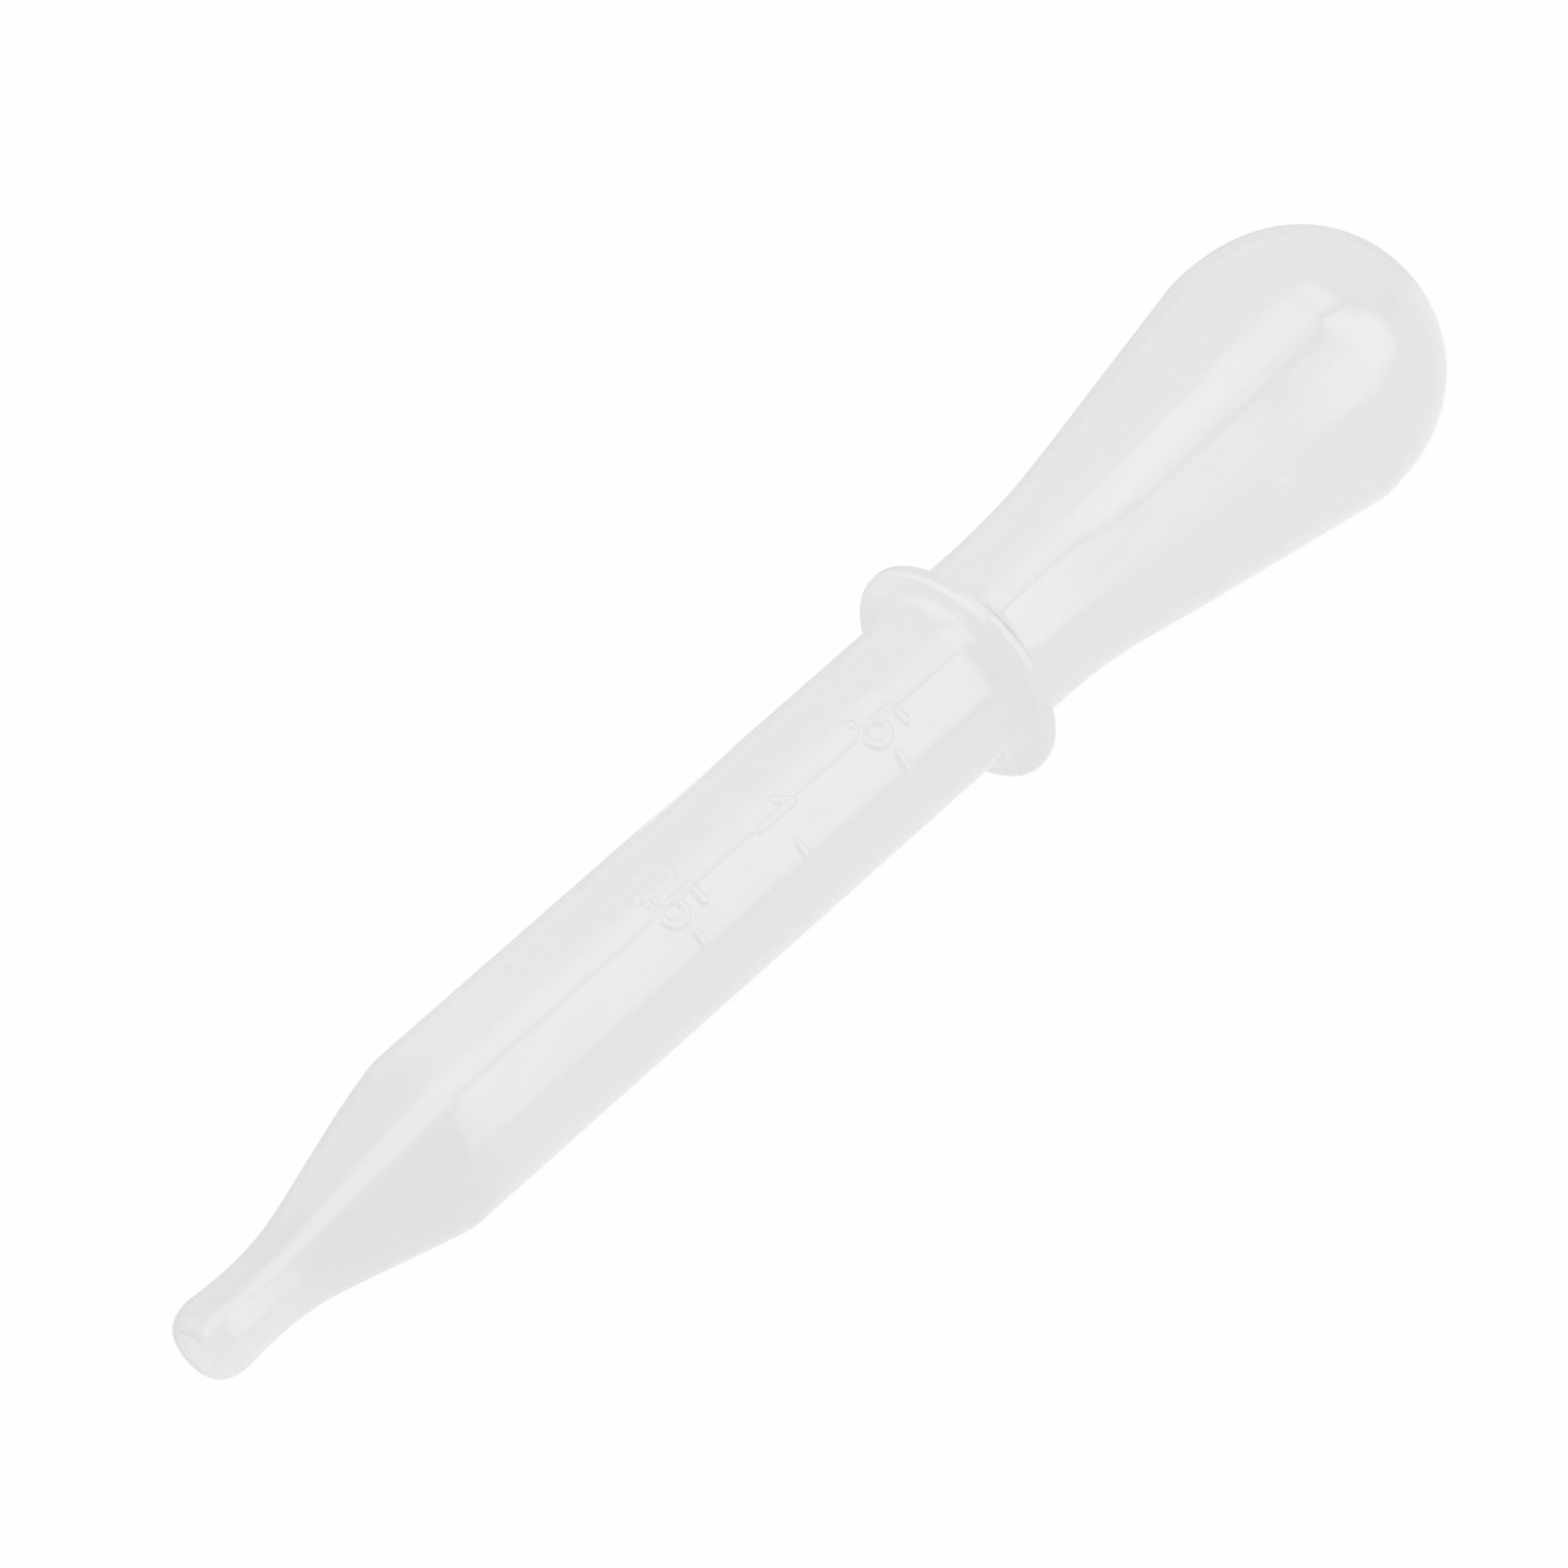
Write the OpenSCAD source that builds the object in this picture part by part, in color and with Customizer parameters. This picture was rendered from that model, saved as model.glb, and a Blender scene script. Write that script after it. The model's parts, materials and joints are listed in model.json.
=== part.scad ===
// Plastic dropper pipette, blown in one piece: a squeeze bulb, a seating flange, a straight
// stem with raised volume marks, and a taper down to an open nozzle.
// It lies along X with the bulb towards +X and the nozzle towards -X. The origin is on the
// axis at the top of the straight stem, where the flange's fillet begins. Millimetres.

/* [Stem] */
// Outside diameter of the straight stem
stem_d = 10; // [9:0.1:11]
// Length of the straight stem, from the flange's fillet to the shoulder
stem_len = 38.85; // [32:0.05:60]
// Wall of the stem
stem_wall = 0.55; // [0.4:0.05:0.9]

/* [Taper and nozzle] */
// Slope of the taper against the axis, in degrees
taper_angle = 16.6; // [12:0.1:25]
// Radius of the rounded shoulder between stem and taper
shoulder_r = 21.6; // [4:0.1:30]
// Radius of the hollow sweep from the taper into the nozzle
sweep_r = 25.2; // [4:0.1:35]
// Outside diameter of the nozzle at its waist
nozzle_d = 4.4; // [3.6:0.1:5]
// Length of the nozzle, from its waist to the open end
nozzle_len = 3.55; // [3:0.05:12]
// Outside diameter of the nozzle at its flared end
tip_d = 4.64; // [4.4:0.02:5.6]
// Bore of the nozzle
nozzle_bore_d = 2.2; // [1.2:0.1:2.6]
// Rounding of the open end, measured along the axis
tip_round_len = 1.6; // [0.4:0.1:2]
// Rounding of the open end, measured across the wall
tip_round_depth = 0.9; // [0.3:0.05:0.95]

/* [Flange] */
// Diameter of the seating flange
flange_d = 13.64; // [12.6:0.02:20]
// Thickness of the flange
flange_t = 0.95; // [0.8:0.05:3]
// Rounding of the flange's rim
rim_r = 0.34; // [0.1:0.02:0.38]
// Fillet between the stem and the flange's seating face
seat_fillet_r = 0.8; // [0.2:0.05:1.2]
// Fillet between the flange and the bulb's neck
neck_fillet_r = 1.6; // [0.4:0.05:2]

/* [Bulb] */
// Outside diameter of the bulb's neck
neck_d = 10.14; // [9.4:0.02:11]
// Length of the neck, from the flange to the start of the flare
neck_len = 4.45; // [2.5:0.05:12]
// Radius of the flare between the neck and the bulb's cone
flare_r = 34; // [10:0.5:60]
// Slope of the bulb's cone against the axis, in degrees
bulb_angle = 9.45; // [6:0.05:16]
// Outside diameter of the bulb's round end
bulb_d = 16.76; // [15:0.02:24]
// Wall of the bulb and its neck
bulb_wall = 0.55; // [0.4:0.05:0.9]

/* [Volume marks] */
// Distance of the first mark from the top of the stem
mark_first = 7.35; // [4:0.05:9]
// Distance from one mark to the next, half a millilitre of the bore
mark_pitch = 8.05; // [5:0.05:9]
// Turn of the marks about the axis, from the top towards -Y, in degrees
mark_turn = 27.6; // [0:0.2:90]
// Height of the numerals along the stem
digit_h = 3; // [2:0.1:4]
// Width of the numerals round the stem
digit_w = 2; // [1.4:0.1:2.2]
// Width of the raised strokes
stroke_w = 0.45; // [0.3:0.05:0.6]
// Height of the strokes above the stem
relief = 0.09; // [0.06:0.01:0.25]
// Diameter of the decimal points
point_d = 0.5; // [0.3:0.05:0.8]
// Space on each side of a decimal point
point_gap = 0.26; // [0.1:0.02:0.6]
// Length of the tick beside each numeral, round the stem
tick_len = 1.4; // [0.8:0.1:3]
// Space between a numeral and its tick
tick_gap = 0.27; // [0.1:0.01:1]
// Place of the last numeral of each label, round the stem from the marks' meridian
digit_place = -0.32; // [-1:0.02:1]

/* [Hidden] */
$fn = 144;

plastic = [0.93, 0.94, 0.94, 0.85];
stem_r = stem_d / 2;
stem_bore_r = stem_r - stem_wall;
nozzle_r = nozzle_d / 2;
nozzle_bore_r = nozzle_bore_d / 2;
tip_r = tip_d / 2;
neck_r = neck_d / 2;
flange_r = flange_d / 2;
bulb_r = bulb_d / 2;
half_w = digit_w / 2;
half_h = digit_h / 2;

// The shoulder and the sweep share the drop from stem to nozzle, so both are held to what it has.
taper_drop = stem_r - nozzle_r;
round_drop = (shoulder_r + sweep_r) * (1 - cos(taper_angle));
round_share = min(1, 0.9 * taper_drop / round_drop);
shoulder_arc = shoulder_r * round_share;
sweep_arc = sweep_r * round_share;

// Places along the axis, from the stem to the nozzle's end.
shoulder_x = -stem_len;
cone_drop = taper_drop - round_drop * round_share;
cone_len = cone_drop / tan(taper_angle);
waist_x = shoulder_x - (shoulder_arc + sweep_arc) * sin(taper_angle) - cone_len;
tip_x = waist_x - nozzle_len;
tip_flare_x = tip_x + tip_round_len;

// The fillets leave a flat ring on the flange's seating face and stay under the rim's rounding.
seat_room = flange_r - rim_r - stem_r;
seat_fillet = min(seat_fillet_r, 0.7 * seat_room);
neck_fillet = min(neck_fillet_r, neck_len, flange_r - rim_r - neck_r);

// The lip's rounding leaves a rim of wall round the bore.
tip_depth = min(tip_round_depth, 0.95 * (tip_r - nozzle_bore_r));

// The bulb's flare takes only a share of the rise from the neck to the bulb.
bulb_rise = bulb_r * cos(bulb_angle) - neck_r;
bulb_flare = min(flare_r, 0.9 * bulb_rise / (1 - cos(bulb_angle)));

// Places along the axis, from the flange to the bulb's end.
seat_x = seat_fillet;
flange_back_x = seat_x + flange_t;
flare_x = flange_back_x + neck_len;
bulb_cone_len = (bulb_rise - bulb_flare * (1 - cos(bulb_angle))) / tan(bulb_angle);
bulb_x = flare_x + (bulb_flare + bulb_r) * sin(bulb_angle) + bulb_cone_len;

// Characters of each label, from the flange down. A label's places are arc lengths round the
// stem from the marks' meridian: the last numeral, the point and the first numeral before it.
LABELS = [["5", ".", "1"], ["1"], ["5", ".", "0"]];
point_place = digit_place - half_w - point_gap;
first_place = point_place - point_gap - half_w;
PLACES = [digit_place, point_place, first_place];
tick_place = digit_place + half_w + tick_gap + tick_len / 2;

// Depth to which the strokes run into the wall, so that they are one with it.
root_depth = 0.1;

function reversed(points) = [for (i = [len(points) - 1:-1:0]) points[i]];

// Points of an arc about (cx, cy), from angle a0 to a1 in degrees, in n steps.
function arc(cx, cy, rx, ry, a0, a1, n) =
    [for (i = [0:n]) let (a = a0 + (a1 - a0) * i / n) [cx + rx * cos(a), cy + ry * sin(a)]];

// Outside of the stem, shoulder, taper, sweep and nozzle waist, from the flange outwards.
function taper_outline() = concat(
    arc(shoulder_x, stem_r - shoulder_arc, shoulder_arc, shoulder_arc, 90, 90 + taper_angle, 12),
    arc(waist_x, nozzle_r + sweep_arc, sweep_arc, sweep_arc, 270 + taper_angle, 270, 12)
);

// The wall thickens from the stem to the nozzle, in step with the narrowing.
function bore_at(r) =
    nozzle_bore_r + (r - nozzle_r) * (stem_bore_r - nozzle_bore_r) / (stem_r - nozzle_r);

// The flared end of the nozzle and its rounded lip.
function tip_outline() = concat(
    [for (i = [1:6]) let (u = i / 6)
        [waist_x + (tip_flare_x - waist_x) * u, nozzle_r + (tip_r - nozzle_r) * u * u]],
    arc(tip_flare_x, tip_r - tip_depth, tip_round_len, tip_depth, 100, 180, 8)
);

// Seat fillet, rounded rim and neck fillet of the flange, from the bulb's side to the stem.
function flange_outline() = concat(
    arc(flange_back_x + neck_fillet, neck_r + neck_fillet, neck_fillet, neck_fillet, 270, 180, 8),
    arc(flange_back_x - rim_r, flange_r - rim_r, rim_r, rim_r, 0, 90, 5),
    arc(seat_x + rim_r, flange_r - rim_r, rim_r, rim_r, 90, 180, 5),
    arc(0, stem_r + seat_fillet, seat_fillet, seat_fillet, 360, 270, 6)
);

// The bulb from its pole to the neck; inset moves it inwards by a wall.
function bulb_outline(inset) = concat(
    arc(bulb_x, 0, bulb_r - inset, bulb_r - inset, 0, 90 + bulb_angle, 32),
    arc(flare_x, neck_r + bulb_flare, bulb_flare + inset, bulb_flare + inset, 270 + bulb_angle, 270, 12)
);

// Half section of the wall, from the bulb's pole round the outside to the nozzle and back
// through the bore.
function wall_section() = concat(
    bulb_outline(0),
    flange_outline(),
    taper_outline(),
    tip_outline(),
    reversed(concat(
        bulb_outline(bulb_wall),
        [[flange_back_x, neck_r - bulb_wall], [seat_x, stem_bore_r]],
        [for (p = taper_outline()) [p[0], bore_at(p[1])]],
        [[tip_x, nozzle_bore_r]]
    ))
);

// Turns a half section, drawn with x along the axis and y as its radius, about the X axis.
module turned(section) {
    rotate([0, 90, 0]) rotate_extrude() mirror([1, -1]) polygon(section);
}

// A flat stadium, as high as h and as wide as w, with its long axis along y.
module stadium(w, h) {
    square([w, h - w], center = true);
    for (side = [-1, 1]) translate([0, side * (h - w) / 2]) circle(d = w);
}

module numeral_zero() {
    difference() {
        stadium(digit_w, digit_h);
        stadium(digit_w - 2 * stroke_w, digit_h - 2 * stroke_w);
    }
}

// A plain upright with a slanting flag, as wide and as deep as half the numeral.
module numeral_one() {
    right = stroke_w / 2;
    slant = stroke_w * sqrt(2);
    translate([-right, -half_h]) square([stroke_w, digit_h]);
    polygon([
        [right, half_h],
        [right - half_w, half_h - half_w],
        [right - half_w, half_h - half_w - slant],
        [right, half_h - slant]
    ]);
}

// A bar, a short upright at its left and a bowl that is open on the left between two angles.
module numeral_five() {
    bowl_r = 0.95 * half_w;
    bowl_y = bowl_r - half_h;
    bar_len = 1.55 * half_w;
    upright_h = half_h - bowl_y - 0.6 * bowl_r;
    left = -0.75 * half_w;
    gap_from = 140;
    gap_to = 212;
    translate([left, half_h - stroke_w]) square([bar_len, stroke_w]);
    translate([left, half_h - upright_h]) square([stroke_w, upright_h]);
    translate([0, bowl_y]) difference() {
        circle(r = bowl_r);
        circle(r = bowl_r - stroke_w);
        polygon([
            [0, 0],
            digit_w * [cos(gap_from), sin(gap_from)],
            [-digit_w, 0],
            digit_w * [cos(gap_to), sin(gap_to)]
        ]);
    }
}

module decimal_point() {
    translate([0, point_d / 2 - half_h]) circle(d = point_d);
}

module character(name) {
    if (name == "0") numeral_zero();
    if (name == "1") numeral_one();
    if (name == "5") numeral_five();
    if (name == ".") decimal_point();
}

// Stands a flat shape on the stem, upright towards the bulb, at x and at an arc length round it.
module on_stem(x, place) {
    rotate([mark_turn + place / stem_r * 180 / PI, 0, 0])
        translate([x, 0, stem_r / 2])
            rotate([0, 0, -90])
                linear_extrude(stem_r) children();
}

// The band round the stem that the raised strokes fill.
module relief_band() {
    band_len = (len(LABELS) - 1) * mark_pitch + 2 * digit_h;
    translate([digit_h - mark_first - band_len, 0, 0]) rotate([0, 90, 0]) difference() {
        cylinder(r = stem_r + relief, h = band_len);
        translate([0, 0, -1]) cylinder(r = stem_r - root_depth, h = band_len + 2);
    }
}

// Raised numerals, each with its tick, one mark below the other.
module volume_marks() {
    intersection() {
        relief_band();
        for (i = [0:len(LABELS) - 1]) {
            mark_x = -mark_first - i * mark_pitch;
            for (k = [0:len(LABELS[i]) - 1]) on_stem(mark_x, PLACES[k]) character(LABELS[i][k]);
            on_stem(mark_x, tick_place) square([tick_len, stroke_w], center = true);
        }
    }
}

module dropper() {
    color(plastic) {
        turned(wall_section());
        volume_marks();
    }
}

dropper();
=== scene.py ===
import json
import logging
import math
from dataclasses import dataclass, field
from enum import Enum
from typing import List, Sequence, Tuple, Union

import bmesh
import bpy
from mathutils import Matrix, Vector

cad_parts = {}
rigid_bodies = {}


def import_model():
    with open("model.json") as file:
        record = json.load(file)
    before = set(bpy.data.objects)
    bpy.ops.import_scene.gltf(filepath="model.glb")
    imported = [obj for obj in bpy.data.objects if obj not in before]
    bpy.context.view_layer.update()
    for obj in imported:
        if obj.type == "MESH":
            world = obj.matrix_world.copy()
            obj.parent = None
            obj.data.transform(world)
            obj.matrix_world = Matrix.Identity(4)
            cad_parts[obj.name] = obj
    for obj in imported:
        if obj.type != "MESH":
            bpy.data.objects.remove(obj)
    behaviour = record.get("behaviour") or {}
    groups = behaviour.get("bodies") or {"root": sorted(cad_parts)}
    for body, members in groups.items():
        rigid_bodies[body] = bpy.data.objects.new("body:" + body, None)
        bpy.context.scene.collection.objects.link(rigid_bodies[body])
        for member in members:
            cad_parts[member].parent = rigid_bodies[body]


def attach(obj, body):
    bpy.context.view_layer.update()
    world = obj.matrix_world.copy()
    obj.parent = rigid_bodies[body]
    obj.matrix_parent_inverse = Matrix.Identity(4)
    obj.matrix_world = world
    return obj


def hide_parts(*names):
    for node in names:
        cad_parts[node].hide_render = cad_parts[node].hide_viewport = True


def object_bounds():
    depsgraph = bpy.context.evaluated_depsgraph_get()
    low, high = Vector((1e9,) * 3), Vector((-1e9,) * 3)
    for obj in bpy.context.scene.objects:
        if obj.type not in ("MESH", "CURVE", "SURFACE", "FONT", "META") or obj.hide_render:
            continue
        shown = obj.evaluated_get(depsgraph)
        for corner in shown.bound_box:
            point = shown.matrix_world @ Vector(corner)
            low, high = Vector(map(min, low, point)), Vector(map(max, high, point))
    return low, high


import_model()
CAD_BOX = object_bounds()

Point = Tuple[float, float]
Triple = Tuple[float, float, float]
Tree = bpy.types.NodeTree
Socket = bpy.types.NodeSocket
LOG = logging.getLogger("dropper")
MM = 0.001
NEAR = 1e-6


class Glyph(Enum):
    """A raised character of a volume mark."""

    ZERO = "0"
    ONE = "1"
    FIVE = "5"
    POINT = "."
    TICK = "-"


def arc_points(centre: Point, radii: Point, start: float, end: float, steps: int) -> List[Point]:
    """Points along an arc or a quarter of an ellipse.

    Args:
        centre: Middle of the arc.
        radii: Radius along each of the two directions.
        start: First angle, in degrees.
        end: Last angle, in degrees.
        steps: Number of spans between the first and the last point.

    Returns:
        The points, both ends included.
    """
    points = []
    for step in range(steps + 1):
        angle = math.radians(start + (end - start) * step / steps)
        across, up = radii[0] * math.cos(angle), radii[1] * math.sin(angle)
        points.append((centre[0] + across, centre[1] + up))
    return points


def line_points(start: Point, end: Point, steps: int) -> List[Point]:
    """Points along a straight line.

    Args:
        start: First point.
        end: Last point.
        steps: Number of spans.

    Returns:
        The points between the two ends, without the ends themselves.
    """
    run, rise = end[0] - start[0], end[1] - start[1]
    return [
        (start[0] + run * step / steps, start[1] + rise * step / steps) for step in range(1, steps)
    ]


def place_mesh(name: str, mesh: bmesh.types.BMesh) -> bpy.types.Object:
    """Turns a finished bmesh into an object of the scene.

    Args:
        name: Name of the object and of its mesh.
        mesh: The bmesh, which is freed.

    Returns:
        The object, linked to the scene.
    """
    data = bpy.data.meshes.new(name)
    mesh.to_mesh(data)
    mesh.free()
    placed = bpy.data.objects.new(name, data)
    bpy.context.scene.collection.objects.link(placed)
    return placed


def bare_material(name: str) -> Tuple[bpy.types.Material, Tree, Socket]:
    """Starts a material with nothing but its output.

    Args:
        name: Name of the material.

    Returns:
        The material, its tree, and the socket that takes its surface.
    """
    material = bpy.data.materials.new(name)
    material.use_nodes = True
    tree = material.node_tree
    tree.nodes.clear()
    return material, tree, tree.nodes.new("ShaderNodeOutputMaterial").inputs["Surface"]


def smooth_step(value: float) -> float:
    """Eases a value from 0 to 1 with a soft start and a soft end."""
    value = min(max(value, 0.0), 1.0)
    return value * value * (3.0 - 2.0 * value)


def soft_least(first: float, second: float, blend: float) -> Point:
    """Smaller of two values, rounded off within the blend, and the first one's share in it."""
    share = min(max(0.5 + 0.5 * (second - first) / blend, 0.0), 1.0)
    return second * (1.0 - share) + first * share - blend * share * (1.0 - share), share


@dataclass
class Stroke:
    """One raised stroke: its centre line and its half width."""

    path: List[Point]
    pen: float

    def gap(self, across: float, up: float, margin: float) -> float:
        """Distance from a place to the stroke's edge, below zero inside the stroke.

        Args:
            across: Arc length round the stem.
            up: Height in the label.
            margin: Distance past which the exact gap doesn't matter.

        Returns:
            The distance, or the margin where the place is further off.
        """
        reach = self.pen + margin
        sides = [point[0] for point in self.path]
        if not min(sides) - reach <= across <= max(sides) + reach:
            return margin
        best = reach
        for (ax, ay), (bx, by) in zip(self.path, self.path[1:]):
            dx, dy = bx - ax, by - ay
            length = dx * dx + dy * dy
            share = 0.0 if length == 0.0 else ((across - ax) * dx + (up - ay) * dy) / length
            share = min(max(share, 0.0), 1.0)
            best = min(best, math.hypot(across - ax - share * dx, up - ay - share * dy))
        return best - self.pen


@dataclass
class VolumeMarks:
    """Raised numerals and ticks that stand on the stem, drawn as soft strokes.

    Each label has its own small shift, round the stem and along it, as on a real mould. The lead
    shift moves the label's first digit alone. The ratios of the one and the five are shares of
    the digit's width, or of half of it.
    """

    stem_radius: float = 5.0 * MM
    first: float = 7.35 * MM
    pitch: float = 8.05 * MM
    turn: float = 27.6
    height: float = 3.0 * MM
    width: float = 2.0 * MM
    stroke: float = 0.45 * MM
    relief: float = 0.11 * MM
    edge: float = 0.15 * MM
    tick_length: float = 1.4 * MM
    tick_gap: float = 0.27 * MM
    point_size: float = 0.5 * MM
    point_gap: float = 0.26 * MM
    digit_place: float = -0.32 * MM
    one_flag: float = 0.36
    five_bowl: float = 0.95
    five_bar: Point = (-0.75, 0.80)
    five_join: float = 0.62
    five_bend: Point = (140.0, -148.0)
    arc_spans: Tuple[int, int] = (16, 24)
    label_shift: Tuple[Point, ...] = (
        (-0.2 * MM, 0.32 * MM), (-0.43 * MM, 0.06 * MM), (-0.15 * MM, 0.25 * MM),
    )
    lead_shift: Tuple[float, ...] = (0.5 * MM, 0.0, 0.3 * MM)
    labels: Tuple[Tuple[Glyph, ...], ...] = (
        (Glyph.FIVE, Glyph.POINT, Glyph.ONE),
        (Glyph.ONE,),
        (Glyph.FIVE, Glyph.POINT, Glyph.ZERO),
    )

    def mark_x(self, index: int) -> float:
        """Place of a mark along the stem."""
        return -self.first - index * self.pitch

    def reach(self) -> Point:
        """How far round the stem the marks reach.

        Returns:
            Lowest and highest arc length.
        """
        low = self.digit_place - 2 * self.point_gap - 1.5 * self.width - self.stroke
        high = self.digit_place + 0.5 * self.width + self.tick_gap + self.tick_length + self.stroke
        return low, high

    def span(self, index: int) -> Point:
        """How far along the stem a mark's strokes reach.

        Args:
            index: Number of the mark, from the flange outwards.

        Returns:
            Lowest and highest x.
        """
        half = 0.5 * self.height + self.edge
        middle = self.mark_x(index) + self.label_shift[index][1]
        return middle - half, middle + half

    def glyph_paths(self, glyph: Glyph) -> List[Tuple[List[Point], float]]:
        """Centre lines of a character's strokes.

        Args:
            glyph: The character to draw.

        Returns:
            Each stroke's points, across and up from the character's middle, and its half width.
        """
        half_w, half_h, pen = 0.5 * self.width, 0.5 * self.height, 0.5 * self.stroke
        if glyph is Glyph.ZERO:
            bow = half_w - pen
            straight = half_h - half_w
            top = arc_points((0.0, straight), (bow, bow), 0, 180, self.arc_spans[0])
            bottom = arc_points((0.0, -straight), (bow, bow), 180, 360, self.arc_spans[0])
            return [(top + bottom + top[:1], pen)]
        if glyph is Glyph.ONE:
            drop = self.one_flag * self.width
            upright = [(0.0, -half_h + pen), (0.0, half_h - pen)]
            flag = [(0.0, half_h - pen), (-drop, half_h - pen - drop)]
            return [(upright, pen), (flag, pen)]
        if glyph is Glyph.FIVE:
            bowl = self.five_bowl * half_w
            bow = bowl - pen
            middle = bowl - half_h
            left = self.five_bar[0] * half_w + pen
            right = self.five_bar[1] * half_w - pen
            join = middle + self.five_join * bow
            bar = [(right, half_h - pen), (left, half_h - pen), (left, join)]
            bend = arc_points((0.0, middle), (bow, bow), *self.five_bend, self.arc_spans[1])
            return [(bar, pen), ([(left, join)] + bend, pen)]
        if glyph is Glyph.POINT:
            dot = 0.5 * self.point_size
            return [([(0.0, dot - half_h), (0.0, dot - half_h)], dot)]
        half_tick = 0.5 * self.tick_length - pen
        return [([(-half_tick, 0.0), (half_tick, 0.0)], pen)]

    def mark_strokes(self, index: int) -> List[Stroke]:
        """Strokes of one label and its tick, as arc length round the stem and height up the label.

        Args:
            index: Number of the mark, from the flange outwards.

        Returns:
            The label's strokes.
        """
        half_w = 0.5 * self.width
        point_place = self.digit_place - half_w - self.point_gap
        lead_place = point_place - self.point_gap - half_w + self.lead_shift[index]
        tick_place = self.digit_place + half_w + self.tick_gap + 0.5 * self.tick_length
        side, lift = self.label_shift[index]
        places = [(place + side, lift) for place in (self.digit_place, point_place, lead_place)]
        strokes: List[Stroke] = []
        glyphs = list(zip(self.labels[index], places)) + [(Glyph.TICK, (tick_place, 0.0))]
        for glyph, (place, rise) in glyphs:
            for path, pen in self.glyph_paths(glyph):
                strokes.append(Stroke([(across + place, up + rise) for across, up in path], pen))
        return strokes

    def raise_strokes(self, mesh: bmesh.types.BMesh) -> int:
        """Lifts the stem's outer skin into soft-edged strokes.

        Args:
            mesh: The body's mesh, with small faces where the marks stand.

        Returns:
            The number of vertices that were lifted.
        """
        lifted = 0
        low, high = self.reach()
        spans = [self.span(index) for index in range(len(self.labels))]
        labels = [self.mark_strokes(index) for index in range(len(self.labels))]
        for vert in mesh.verts:
            x, y, z = vert.co
            radius = math.hypot(y, z)
            if abs(radius - self.stem_radius) > NEAR:
                continue
            turned = math.degrees(math.atan2(-y, z)) - self.turn
            across = math.radians(turned) * self.stem_radius
            if not low <= across <= high:
                continue
            for index, (bottom, top) in enumerate(spans):
                if not bottom <= x <= top:
                    continue
                up = x - self.mark_x(index)
                gap = min(stroke.gap(across, up, self.edge) for stroke in labels[index])
                rise = self.relief * smooth_step(0.5 - gap / self.edge)
                if rise > 0.0:
                    scale = (radius + rise) / radius
                    vert.co = (x, y * scale, z * scale)
                    lifted += 1
        return lifted


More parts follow.
